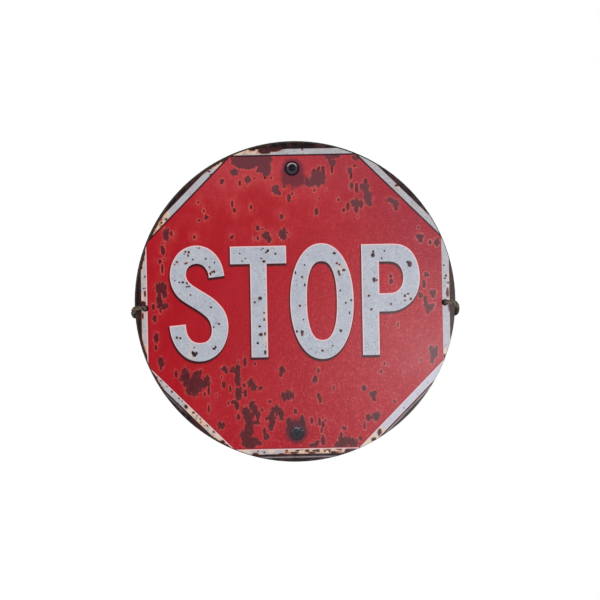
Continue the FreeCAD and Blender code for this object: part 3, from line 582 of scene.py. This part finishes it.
def print_bolt():
    """A printed bolt head: a dark rim, a grey dome with a recess and a pale crescent along its upper edge."""
    paint, _ = print_paint("print_bolt", 0.02)
    marks = paint.spread(paint.noise(1.8), 0.52, 0.66)
    paint.colour = paint.mix(marks, (16, 12, 20), (62, 57, 68))
    paint.coat((60, 51, 60), paint.spread("recess", 3.1, 3.9))
    paint.coat((22, 8, 15), paint.spread("radius", 4.7, 5.7))
    paint.coat((44, 42, 49), "soft", 0.75)
    paint.coat((74, 30, 42), "soft", paint.spread("radius", 5.4, 7))
    sparkle = paint.spread(paint.noise(1.4, shift=(4, 0, 1)), 0.52, 0.66)
    paint.coat((112, 106, 112), "soft", sparkle, paint.spread("above", -1, 3.5))
    ring = paint.times(paint.spread("recess", 3.2, 3.8), paint.fade("radius", 5, 5.7))
    lowered = paint.spread("soft", 0, 1, -0.6, -3)
    crescent = paint.spread(paint.plus("above", lowered), 0.3, 3.6)
    paint.coat((176, 156, 162), ring, crescent, 0.95)
    return paint.finished()


def board_finish():
    """Fibreboard: stained near black on the rim and the bevels, bare brown on the back."""
    paint = Paint("fibreboard", 0.75, 0.25)
    depth = paint.node("SeparateXYZ", {"Vector": paint.place}).outputs[1]
    fibres = paint.noise(1.3, 5, (2.4, 1, 0.9), 0.7)
    blotches = paint.noise(40)
    paint.colour = paint.mix(paint.spread(fibres, 0.32, 0.7), (128, 97, 68), (160, 127, 94))
    flecks = paint.noise(1, 3, (0.8, 1, 2.6), 0.7, (5, 0, 3))
    paint.coat((88, 62, 42), paint.spread(flecks, 0.62, 0.72, 0, 0.6))
    paint.coat((122, 92, 66), paint.spread(blotches, 0.35, 0.7, 0, 0.35))
    stained = paint.mix(paint.spread(fibres, 0.35, 0.7), (34, 32, 27), (62, 57, 46))
    seep = paint.plus(depth, paint.times(paint.plus(blotches, -0.5), 0.5 * MM))
    paint.coat(stained, paint.fade(seep, BOARD_BACK_Y - 0.35 * MM, BOARD_BACK_Y - 0.15 * MM))
    paint.bump(fibres, 0.5, 0.2 * MM)
    return paint.finished()


def jute(name, grey, brown, crown):
    """Twisted jute: fine fibres along each strand, with painted shade between the strands and against the
    rim.
    """
    paint = Paint(name, 0.85, 0.2)
    per_metre, per_turn, slant = 900, 26, 0.9
    along = paint.times("along", per_metre)
    slanted = paint.plus(paint.times("around", per_turn), paint.times(along, slant))
    lay = paint.node("CombineXYZ", {"X": along, "Y": slanted})
    fibres = paint.node("TexNoise", {"Vector": lay.outputs[0], "Scale": 1, "Detail": 4}).outputs[0]
    base = paint.mix(paint.spread(paint.noise(9, 2), 0.35, 0.65), grey, brown)
    paint.colour = paint.mix(paint.spread(fibres, 0.36, 0.52), (40, 32, 24), base)
    paint.coat(crown, paint.spread(fibres, 0.56, 0.72, 0, 0.85))
    # Painted shade: the grooves between the strands, and the cord's side against the rim, are darkened.
    groove_shade = paint.fade("depth", 0.12, 0.72, 0.92)
    paint.coat((24, 19, 16), paint.math("MAXIMUM", groove_shade, "grime"))
    paint.bump(fibres, 0.9, 0.25 * MM)
    return paint.finished()


def smooth_path(points, steps=8):
    """A smooth line through given points, ends included."""
    points = np.array(points, dtype=float)
    padded = np.concatenate([[2 * points[0] - points[1]], points, [2 * points[-1] - points[-2]]])
    part = np.arange(steps)[:, None] / steps
    spans = []
    for a, b, c, d in zip(padded, padded[1:], padded[2:], padded[3:]):
        bend = (2 * a - 5 * b + 4 * c - d) * part ** 2 + (3 * b - a - 3 * c + d) * part ** 3
        spans.append(b + ((c - a) * part + bend) / 2)
    return np.concatenate(spans + [points[-1:]])


def circle(count):
    """Points on a round outline of radius 1 about nothing."""
    turn = np.linspace(0, 2 * math.pi, count, endpoint=False)
    return np.stack([np.cos(turn), np.sin(turn)], axis=1)


def super_ellipse(middle, half_width, half_height, power):
    """A closed oval, fuller at its shoulders as the power grows, with a point about every millimetre."""
    round_loop = circle(140)
    loop = np.sign(round_loop) * np.abs(round_loop) ** (2 / power) * (half_width, half_height) + middle
    closed = np.concatenate([loop, loop[:1]])
    flat = np.concatenate([closed, np.zeros((len(closed), 1))], axis=1)
    return resampled(flat, 1.0)[:-1, :2]


def divided(loop, step):
    """A closed outline with its own points kept and more added along its long sides."""
    parts = []
    for start, end in zip(loop, np.roll(loop, -1, axis=0)):
        count = max(1, int(np.ceil(np.linalg.norm(end - start) / step)))
        parts.append(start + (end - start) * np.arange(count)[:, None] / count)
    return np.concatenate(parts)


def letter_loops():
    """Each letter's outline and the outlines of the gaps inside it."""
    s_outline = np.concatenate([smooth_path(S_FROM_UPPER_END), smooth_path(S_FROM_LOWER_END)])
    t_outline = np.array(T_OUTLINE, dtype=float)
    o_loops = [super_ellipse(*O_OUTLINE), super_ellipse(*O_COUNTER)]
    p_outline = np.concatenate([P_STEM_TOP, smooth_path(P_BOWL), P_STEM_FOOT])
    p_counter = np.concatenate([P_COUNTER_TOP, smooth_path(P_COUNTER_BOWL), P_COUNTER_FOOT])
    return {"S": [s_outline], "T": [t_outline], "O": o_loops, "P": [p_outline, p_counter]}


def outline_distance(places, loops):
    """How far each place lies from the outlines, less than nothing inside, and the way out there."""
    starts = np.concatenate(loops)
    ends = np.concatenate([np.roll(loop, -1, axis=0) for loop in loops])
    sides = ends - starts
    lengths = (sides ** 2).sum(axis=1)
    rise = np.where(np.abs(sides[:, 1]) < 1e-9, 1e-9, sides[:, 1])
    distance = np.empty(len(places))
    outward = np.empty((len(places), 2))
    for first in range(0, len(places), BLOCK):
        block = places[first:first + BLOCK]
        gap = block[:, None] - starts[None]
        part = np.clip((gap * sides[None]).sum(axis=2) / lengths, 0, 1)
        away = gap - part[..., None] * sides[None]
        squared = (away ** 2).sum(axis=2)
        rows, nearest = np.arange(len(block)), squared.argmin(axis=1)
        reach = np.sqrt(squared[rows, nearest])
        spans = (starts[:, 1] > block[:, 1:]) != (ends[:, 1] > block[:, 1:])
        crossing = starts[:, 0] + gap[..., 1] * sides[:, 0] / rise
        inside = (spans & (block[:, :1] < crossing)).sum(axis=1) % 2 == 1
        sign = np.where(inside, -1.0, 1.0)
        distance[first:first + BLOCK] = reach * sign
        outward[first:first + BLOCK] = away[rows, nearest] * (sign / np.maximum(reach, 1e-9))[:, None]
    return distance, outward


def field_distance(places, loops):
    """How far each place lies from a field of an outline and its openings, less than nothing inside."""
    distance = outline_distance(places, loops[:1])[0]
    for opening in loops[1:]:
        distance = np.maximum(distance, -outline_distance(places, [opening])[0])
    return distance


def patch_distance(places, patches):
    """How far each place lies from the nearest patch, less than nothing inside, and its half size."""
    distance = np.full(len(places), FAR)
    size = np.full(len(places), FAR_SIZE)
    for x, z, *reach in patches:
        near = np.abs(places - (x, z)).max(axis=1) < max(reach) + PATCH_MARGIN
        offset = places[near] - (x, z)
        inner = np.linalg.norm(offset / reach, axis=1)
        slope = np.linalg.norm(offset / np.square(reach), axis=1)
        there = np.where(slope > 1e-6, inner * (inner - 1) / np.maximum(slope, 1e-6), -min(reach))
        closer = there < distance[near]
        rows = np.flatnonzero(near)[closer]
        distance[rows] = there[closer]
        size[rows] = min(reach)
    return distance, size


def facing_back(places, faces):
    """The same triangles, each turned to run clockwise as the face is seen."""
    corner, after, last = (places[faces[:, index]] for index in range(3))
    first, second = after - corner, last - corner
    area = first[:, 0] * second[:, 1] - first[:, 1] * second[:, 0]
    return np.where((area > 0)[:, None], faces[:, ::-1], faces)


def grid_inside(shapes, low, high, spacing):
    """Staggered rows of points inside an outline and outside its openings."""
    columns = np.arange(low[0], high[0], spacing)
    rows = np.arange(low[1], high[1], spacing * ROW_SHARE)
    grid = np.stack(np.meshgrid(columns, rows), axis=-1)
    grid[1::2, :, 0] += spacing / 2
    grid = grid.reshape(-1, 2)
    return grid[field_distance(grid, shapes) < -spacing * CLEAR_SHARE]


def front_net(shapes, spacing):
    """The vertices and triangles of a field's front."""
    loops = [divided(shape, spacing) for shape in shapes]
    grid = grid_inside(shapes, loops[0].min(axis=0), loops[0].max(axis=0), spacing)
    points = np.concatenate(loops + [grid])
    edges = []
    for loop in loops:
        first = len(edges)
        edges += [(first + index, first + (index + 1) % len(loop)) for index in range(len(loop))]
    found = delaunay_2d_cdt([Vector(point) for point in points.tolist()], edges, [], 0, 1e-6)
    places = np.array([tuple(place) for place in found[0]])
    faces = np.array(found[2])
    faces = faces[field_distance(places[faces].mean(axis=1), shapes) < 0]
    used, faces = np.unique(faces, return_inverse=True)
    places, faces = places[used], faces.reshape(-1, 3)
    return places, facing_back(places, faces)[:, ::-1]


def back_net(places, rim, shapes):
    """The triangles of a field's back, on its rim's vertices alone."""
    found = delaunay_2d_cdt([Vector(place) for place in places.tolist()], rim.tolist(), [], 0, 1e-6)
    faces = np.array([[found[3][corner][0] for corner in face] for face in found[2]])
    return facing_back(places, faces[field_distance(places[faces].mean(axis=1), shapes) < 0])


def flat_field(name, loops, front, depth, spacing):
    """A thin field of the print in the plane of the face, with vertices close enough to carry its picture.

    The loops are its outline and then its openings. It gives the mesh and its vertices' places.
    """
    shapes = [np.asarray(loop, dtype=float) for loop in loops]
    places, faces = front_net(shapes, spacing)
    sides = np.concatenate([faces[:, (0, 1)], faces[:, (1, 2)], faces[:, (2, 0)]])
    _, index, counts = np.unique(np.sort(sides, axis=1), axis=0, return_index=True, return_counts=True)
    edge_points, rim = np.unique(sides[index[counts == 1]], return_inverse=True)
    rim = rim.reshape(-1, 2)
    deep = len(places)
    skirt = np.hstack([edge_points[rim[:, ::-1]], deep + rim])
    back = back_net(places[edge_points], rim, shapes) + deep
    flat = np.concatenate([places, places[edge_points]])
    y = np.concatenate([np.full(deep, front), np.full(len(edge_points), front + depth)])
    placed = flat + PICTURE_SHIFT
    vertices = np.stack([DISC_CENTRE.x + placed[:, 0] * MM, y, DISC_CENTRE.z + placed[:, 1] * MM], axis=1)
    mesh = bpy.data.meshes.new(name)
    mesh.from_pydata(vertices.tolist(), [], faces.tolist() + skirt.tolist() + back.tolist())
    return mesh, flat


def store(mesh, **fields):
    """Keeps values for each vertex of a mesh, or one for all, under their names for its material to read."""
    for name, values in fields.items():
        layer = mesh.attributes.new(name, "FLOAT", "POINT")
        layer.data.foreach_set("value", np.full(len(mesh.vertices), values, dtype=np.float32))


def from_side(side, places):
    """How far along one side each place lies from its middle, clockwise, and how far out toward it."""
    turn = math.radians(SIDE_TURN * side)
    across, up = np.transpose(places)
    return across * math.cos(turn) - up * math.sin(turn), across * math.sin(turn) + up * math.cos(turn)


def side_point(side, along, out):
    """The place that is so far along one side and so far out."""
    turn = math.radians(SIDE_TURN * side)
    return along * math.cos(turn) + out * math.sin(turn), out * math.cos(turn) - along * math.sin(turn)


def rim_arc(side, start, end, count=9):
    """Points on the print's round edge between two places along a side."""
    along, out = from_side(side, RIM_SHIFT)
    turns = np.linspace(*(math.asin((place - along) / PRINT_RADIUS) for place in (start, end)), count)
    return [side_point(side, along + PRINT_RADIUS * math.sin(turn), out + PRINT_RADIUS * math.cos(turn))
            for turn in turns]


def chord(side, out):
    """Where a line along one side meets the print's round edge: its start and its end."""
    along, shift = from_side(side, RIM_SHIFT)
    half = math.sqrt(PRINT_RADIUS ** 2 - (out - shift) ** 2)
    return along - half, along + half


def strip_span(side):
    """How far out the red ends on one side, and how far out its strip ends."""
    inner = RED_REACH + SIDE_SHIFT[side]
    return inner, inner + STRIP_WIDTH + STRIP_SHIFT[side]


def hole_loops():
    """The print's round openings at the cord's two holes."""
    return [circle(28) * PRINT_HOLE_RADIUS + place for place in PRINT_HOLE_PLACES]


def link(name, mesh, material):
    """Makes an object of a mesh, in the scene, riding on the plaque's only body."""
    made = bpy.data.objects.new(name, mesh)
    made.data.materials.append(material)
    bpy.context.collection.objects.link(made)
    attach(made, "root")
    return made


def red_field(material):
    """The red octagon of the print, under the letters."""
    outline = []
    for side in range(len(SIDES)):
        inner = strip_span(side)[0]
        outline += [side_point(side, along, inner) for along in chord(side, inner)]
    mesh, flat = flat_field("red_field", [outline] + hole_loops(), FACE_Y, PRINT_DEPTH, RED_SPACING)
    rust, rust_size = patch_distance(flat, RUST)
    across, up = flat.T
    store(mesh, rust=rust, rust_size=rust_size, bolt_stain=patch_distance(flat, BOLT_STAINS)[0])
    store(mesh, height=up, lower_right=across - up * 0.5, upper_right=across + up)
    shadow = np.full(len(flat), FAR)
    near = np.abs(up) < SHADOW_BAND
    shadows = [loop + LETTER_SHADOW for loops in letter_loops().values() for loop in loops]
    shadow[near] = outline_distance(flat[near], shadows)[0]
    reach = np.stack([from_side(side, flat)[1] - strip_span(side)[0] for side in range(len(SIDES))])
    nearest = np.array(SIDES)[reach.argmax(axis=0)]
    store(mesh, letter_shadow=shadow, edge=-reach.max(axis=0))
    store(mesh, dark_edge=np.isin(nearest, DARK_LINED), light_edge=np.isin(nearest, LIGHT_LINED))
    field = link("red_field", mesh, material)
    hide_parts("red_octagon")


def paint_white(mesh, flat, rusted=1.0, dark_rim=NO_DARK_RIM):
    """Stores what the white print's material needs to know at each vertex."""
    inward = PRINT_RADIUS - np.linalg.norm(flat - RIM_SHIFT, axis=1)
    bite = np.minimum(patch_distance(flat, BITES)[0], inward - dark_rim)
    cream, speck = (patch_distance(flat, patches)[0] for patches in (CREAM, SPECKS))
    store(mesh, cream=cream, bite=bite, speck=speck, rusted=rusted)


def letters(material):
    """The four letters, each flat and a hair proud of the red, their edges lit most where they face up."""
    for name, loops in letter_loops().items():
        name = "letter_" + name
        mesh, flat = flat_field(name, loops, FACE_Y - LETTER_RISE, LETTER_RISE, LETTER_SPACING)
        paint_white(mesh, flat)
        distance, outward = outline_distance(flat, loops)
        lit = 0.75 + outward[:, 1] * 0.9 + np.abs(outward[:, 0]) * 0.25
        store(mesh, edge=-distance, lit=np.clip(lit, 0, 1))
        letter = link(name, mesh, material)


def border_strips(material):
    """The eight white strips along the sides of the octagon."""
    for side, word in enumerate(SIDES):
        inner, outer = strip_span(side)
        wide, narrow = chord(side, inner), chord(side, outer)
        outline = rim_arc(side, wide[0], narrow[0]) + rim_arc(side, narrow[1], wide[1])
        name = "border_" + word
        mesh, flat = flat_field(name, [outline] + hole_loops(), FACE_Y, PRINT_DEPTH, BORDER_SPACING)
        paint_white(mesh, flat, RUSTED.get(word, LEAST_RUSTED), DARK_RIMMED.get(word, NO_DARK_RIM))
        reach = from_side(side, flat)[1]
        edge = reach - inner
        if word in LIGHT_LINED_OUTSIDE:
            edge = np.minimum(edge, outer - reach + THINNER_OUTSIDE)
        store(mesh, edge=edge, bluish=BLUISH_AND_SHEEN.get(word, 0), lit=LIGHT_LINE if word in LIGHT_LINED else 0)
        strip = link(name, mesh, material)
        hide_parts("border_strips")


def ground_segments(material):
    """The eight near-black segments between the strips and the rim."""
    for side, word in enumerate(SIDES):
        name = "ground_" + word
        outer = strip_span(side)[1]
        outline = rim_arc(side, *chord(side, outer), count=25)
        mesh, flat = flat_field(name, [outline], FACE_Y, PRINT_DEPTH, BORDER_SPACING)
        along, reach = from_side(side, flat)
        beyond = reach - outer
        line_out, line_start, strength = PALE_EDGED.get(word, (0, 0, 0))
        start_length, line_width, brown_width = 2.5, 0.5, 2.4
        started = 1 / (1 + np.exp((line_start - along) / start_length))
        line = np.exp(-((beyond - line_out) / line_width) ** 2) * started * strength
        browned = BROWNED.get(word, LEAST_BROWNED) * np.exp(-(beyond / brown_width) ** 2)
        store(mesh, line=line, browned=browned)
        segment = link(name, mesh, material)
        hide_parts("dark_segments")


def printed_bolts(material):
    """The two bolt heads of the picture, flat like the rest of the print."""
    for name, (height, soft) in BOLTS.items():
        ring = circle(64) * BOLT_RADIUS + (0, height)
        mesh, flat = flat_field(name, [ring], FACE_Y - LETTER_RISE, PRINT_DEPTH + LETTER_RISE, BOLT_SPACING)
        across, above = (flat - (0, height)).T
        recess_across, recess_up = RECESS_SHIFT
        recess = np.hypot(across - recess_across, above - recess_up)
        store(mesh, radius=np.hypot(across, above), recess=recess)
        store(mesh, above=above, soft=soft)
        bolt = link(name, mesh, material)
        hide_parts("printed_bolt_heads")


def dress_board():
    """Gives the CAD board its finish."""
    board = frame["nodes"]["board"]
    board.data.materials.clear()
    board.data.materials.append(board_finish())


def camera():
    """The photograph's view, square on with a slight roll."""
    made = bpy.data.objects.new("camera", bpy.data.cameras.new("camera"))
    made.data.lens = made.data.sensor_width * CAMERA_DISTANCE / PICTURE_WIDTH
    made.data.clip_end = 50
    roll = math.radians(CAMERA_ROLL)
    across, up = CAMERA_SHIFT
    x = DISC_CENTRE.x + across * math.cos(roll) + up * math.sin(roll)
    z = DISC_CENTRE.z - across * math.sin(roll) + up * math.cos(roll)
    made.location = (x, FACE_Y - CAMERA_DISTANCE, z)
    made.rotation_euler = (math.radians(90), roll, 0)
    bpy.context.collection.objects.link(made)
    bpy.context.scene.camera = made
    bpy.context.scene.view_settings.view_transform = "Standard"


def world():
    """A plain soft light all round, that looks white to the camera, in gloss and through glass."""
    made = bpy.data.worlds.new("world")
    bpy.context.scene.world = made
    made.use_nodes = True
    nodes = Nodes(made.node_tree)
    background = nodes.tree.nodes["Background"].inputs
    path = nodes.node("LightPath").outputs
    seen = nodes.math("MAXIMUM", path["Is Camera Ray"], path["Is Glossy Ray"], path["Is Transmission Ray"])
    strength = nodes.node("MapRange", {"Value": seen, "To Min": WORLD_STRENGTH, "To Max": 1.0})
    nodes.feed(background["Strength"], strength.outputs[0])
    nodes.feed(background["Color"], (1, 1, 1, 1))


def lamp(name, place, size, power, colour):
    """A square soft light that looks at the disc."""
    light = bpy.data.lights.new(name, "AREA")
    light.shape = "SQUARE"
    light.size = size
    light.energy = power
    light.color = colour
    made = bpy.data.objects.new(name, light)
    made.location = place
    made.rotation_euler = (DISC_CENTRE - Vector(place)).to_track_quat("-Z", "Y").to_euler()
    bpy.context.collection.objects.link(made)


def spline_points(name, route, step):
    """The points along one NURBS spline on a route, about a step apart."""
    curve = bpy.data.curves.new(name, "CURVE")
    curve.dimensions = "3D"
    spline = curve.splines.new("NURBS")
    spline.points.add(len(route) - 1)
    for point, (x, y, z) in zip(spline.points, route):
        point.co = (x * MM, y * MM, z * MM, 1)
    spline.order_u = 3
    spline.use_endpoint_u = True
    spline.resolution_u = 32
    made = bpy.data.objects.new(name, curve)
    bpy.context.collection.objects.link(made)
    mesh = bpy.data.meshes.new_from_object(made)
    points = np.array([vertex.co for vertex in mesh.vertices])
    bpy.data.objects.remove(made)
    bpy.data.meshes.remove(mesh)
    return resampled(points, step)


def travelled(line):
    """How far along a line each of its points lies."""
    return np.concatenate([[0], np.cumsum(np.linalg.norm(np.diff(line, axis=0), axis=1))])


def resampled(points, step):
    """Points an equal distance apart along a line, about a step from each other."""
    groove_shade = np.linalg.norm(np.diff(points, axis=0), axis=1)
    points = points[np.concatenate([[True], groove_shade > 1e-7])]
    travel = travelled(points)
    count = max(2, int(round(travel[-1] / step)) + 1)
    places = np.linspace(0, travel[-1], count)
    return np.stack([np.interp(places, travel, points[:, axis]) for axis in range(3)], axis=1)


def line_frames(points):
    """The direction of a line at each point, and two steady directions across it."""
    forward = np.gradient(points, axis=0)
    forward /= np.linalg.norm(forward, axis=1, keepdims=True)
    side = np.cross(forward[0], (0.3, 1.0, 0.2))
    sides = []
    for direction in forward:
        side = side - direction * side.dot(direction)
        side = side / np.linalg.norm(side)
        sides.append(side)
    sides = np.array(sides)
    return forward, sides, np.cross(forward, sides)


def around(turn, side, up):
    """The directions at some angles between two directions."""
    return np.cos(turn)[..., None] * side + np.sin(turn)[..., None] * up


def tube_mesh(name, lines, radii, ring, core):
    """One mesh of a round tube along each line. It stores how far along and round each vertex lies."""
    turn = np.linspace(0, 2 * math.pi, ring, endpoint=False)
    places, faces, along, first = [], [], [], 0
    for line, radius in zip(lines, radii):
        _, side, up = line_frames(line)
        radius = np.broadcast_to(radius, len(line))[:, None, None]
        places.append((line[:, None] + around(turn, side[:, None], up[:, None]) * radius).reshape(-1, 3))
        along.append(np.repeat(travelled(line), ring))
        start = first + np.arange(ring * (len(line) - 1)).reshape(-1, ring)
        following = np.roll(start, -1, axis=1)
        quads = np.stack([start, following, following + ring, start + ring], axis=-1)
        last = first + ring * (len(line) - 1)
        faces += quads.reshape(-1, 4).tolist()
        faces += [list(range(first + ring - 1, first - 1, -1)), list(range(last, last + ring))]
        first = last + ring
    places = np.concatenate(places)
    mesh = bpy.data.meshes.new(name)
    mesh.from_pydata(places.tolist(), [], faces)
    mesh.polygons.foreach_set("use_smooth", [True] * len(mesh.polygons))
    store(mesh, along=np.concatenate(along), around=np.tile(np.arange(ring) / ring, len(places) // ring))
    reach = nearest_reach(places, core)
    # The depth and the rim shade carry painted shade: in the strands' grooves and against the disc's rim.
    store(mesh, depth=reach / reach.max() * 2 - 1, grime=rim_grime(places))
    return mesh


def nearest_reach(places, line):
    """How far each place lies from the nearest point of a line."""
    reach = np.empty(len(places))
    for first in range(0, len(places), BLOCK):
        block = places[first:first + BLOCK]
        squared = ((block[:, None] - line[None]) ** 2).sum(axis=2)
        reach[first:first + BLOCK] = np.sqrt(squared.min(axis=1))
    return reach


def rim_grime(places):
    """How much painted shade the jute gets against the disc's rim, down to nothing a few millimetres off it.
    """
    off_rim = np.hypot(places[:, 0] - DISC_CENTRE.x, places[:, 2] - DISC_CENTRE.z) - DISC_RADIUS
    before_face, fade_length, at_rim, darkest = 0.8 * MM, 3.4 * MM, 1.15, 0.85
    beside = (places[:, 1] > BOARD_FACE_Y - before_face) & (off_rim > 0)
    return np.where(beside, np.clip(at_rim - off_rim / fade_length, 0, darkest), 0)


def smooth_noise(dice, travel, length):
    """A smooth random value along a line, about from -1 to 1, that changes over that length."""
    knots = np.arange(0, travel[-1] + 2 * length, length)
    values = dice.uniform(-1, 1, len(knots))
    where = travel / length
    index = np.floor(where).astype(int)
    part = where - index
    ease = part * part * (3 - 2 * part)
    return values[index] * (1 - ease) + values[index + 1] * ease


def twisted(points, radius, offset, pitch, swell, strands=STRANDS):
    """The lines and radii of strands laid round a centreline, uneven as spun jute is."""
    _, side, up = line_frames(points)
    travel = travelled(points)
    dice = np.random.default_rng(len(points))
    lines, radii = [], []
    for strand in range(strands):
        wander = smooth_noise(dice, travel, 9 * MM) * 0.35
        turn = 2 * math.pi * (travel / pitch + strand / strands) + wander
        reach = offset * (1 + 0.08 * smooth_noise(dice, travel, 6 * MM))
        lines.append(points + around(turn, side, up) * reach[:, None])
        radii.append(radius * (1 + swell * smooth_noise(dice, travel, 5 * MM)))
    return lines, radii


def hanging_cord():
    """The jute cord: one centreline, three strands laid round it, a knot on each end and loose fibres."""
    material = jute("jute", (124, 111, 102), (92, 76, 54), (172, 156, 148))
    # A jute coloured as if in deep shade, for the coils that stand in for the holes' shade.
    shaded = jute("jute_shaded", (34, 26, 24), (28, 20, 20), (48, 38, 34))
    points = spline_points("route", LEFT_ROUTE + RIGHT_ROUTE, CORD_STEP)
    loose = np.ones(len(points))
    for growth, place in LOOSER:
        reach = np.linalg.norm(points - np.array(place) * MM, axis=1)
        loose += growth * np.exp(-(reach / LOOSER_REACH) ** 2)
    radius, offset = 1.14 * MM * loose, 1.05 * MM * loose
    lines, radii = twisted(points, radius, offset, pitch=10 * MM, swell=0.09)
    cord = link("hanging_cord", tube_mesh("hanging_cord", lines, radii, ring=10, core=points), material)
    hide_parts("cord")
    knots = [jute_knot("knot_left", -1, material), jute_knot("knot_right", 1, material)]
    fuzz = link("cord_fuzz", fibre_mesh("cord_fuzz", points, FIBRES), material)
    # Dark coils in the two holes stand in for the shade inside them.
    left, right = HOLE_PLACES
    hole_shade_coils = [hole_shade_coil("hole_shade_coil_left", *left, shaded), hole_shade_coil("hole_shade_coil_right", *right, shaded)]


def jute_knot(node, hand, material):
    """Tied turns round the cord's own leg, where the plain knot is: at the left for a hand of -1."""
    low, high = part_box(node)
    middle = np.array((low + high) / 2)
    leg = (np.array(LEG_FOOT) - LEG_TOP) * (hand, 1, 1)
    axis = leg / np.linalg.norm(leg)
    side = np.array((0.0, 1.0, 0.0))
    turns, middle_angle, half_length, reach = 2.6, 0.8, 3.0 * MM, 4.75 * MM
    sweep = np.linspace(-0.5, 0.5, 260)
    angle = sweep * turns * 2 * math.pi + middle_angle
    rise = axis * (sweep * 2 * half_length)[:, None]
    coil = resampled(middle + rise + around(angle, side, np.cross(axis, side)) * reach, 0.4 * MM)
    lines, radii = twisted(coil, radius=0.74 * MM, offset=0.68 * MM, pitch=8 * MM, swell=0.08)
    knot = link("jute_" + node, tube_mesh("jute_" + node, lines, radii, ring=9, core=coil), material)
    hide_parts(node)
    return knot


def fibre_mesh(name, points, count):
    """Loose fibres that stand off the cord, each a thin bent tube."""
    dice = np.random.default_rng(5)
    forward, side, up = line_frames(points)
    root_reach, longest_reach, places_each = 1.7 * MM, 4.4 * MM, 5
    steps = np.linspace(0, 1, places_each)[:, None]
    thickness = np.linspace(0.05, 0.02, places_each) * MM
    lines = []
    for _ in range(count):
        index = dice.integers(2, len(points) - 2)
        angle = dice.uniform(0, 2 * math.pi)
        out = math.cos(angle) * side[index] + math.sin(angle) * up[index]
        start = points[index] + out * root_reach
        length = dice.uniform(1.2, 3.6) * MM
        lean = forward[index] * dice.choice([-1, 1])
        lift = dice.uniform(0.12, 0.5)
        bend = dice.normal(0, 0.25, 3)
        path = start + (lean * (1 - lift) + out * lift) * length * steps + bend * length * 0.4 * steps ** 2
        reach = np.linalg.norm(path - points[index], axis=1)
        if reach.max() <= longest_reach:
            lines.append(path)
    return tube_mesh(name, lines, [thickness] * len(lines), ring=3, core=points)


def hole_shade_coil(name, across, up, material):
    """A dark coil of loose jute round the cord, close to the hole's wall, that stands in for the shade inside
    the hole.
    """
    turns, reach, back_inset, both_insets = 8.0, 2.42 * MM, 0.9 * MM, 2.6 * MM
    sweep = np.linspace(0, 1, 420)
    angle = sweep * turns * 2 * math.pi
    x = DISC_CENTRE.x + across * MM + np.cos(angle) * reach
    z = DISC_CENTRE.z + up * MM + np.sin(angle) * reach
    y = BOARD_BACK_Y - back_inset + (BOARD_FACE_Y - BOARD_BACK_Y + both_insets) * sweep
    line = np.stack([x, y, z], axis=1)
    lines, radii = twisted(line, radius=0.36 * MM, offset=0.2 * MM, pitch=3 * MM, swell=0.15, strands=2)
    shade_coil = link(name, tube_mesh(name, lines, radii, ring=6, core=line), material)
    return shade_coil


camera()
world()
for values in LAMPS:
    lamp(*values)
hanging_cord()
dress_board()
red_field(print_red())
border_strips(print_white("border_white", (168, 161, 161), (178, 174, 175), 1.0))
letters(print_white("letter_white", (167, 171, 181), (178, 181, 188), 0.55))
ground_segments(print_dark())
printed_bolts(print_bolt())
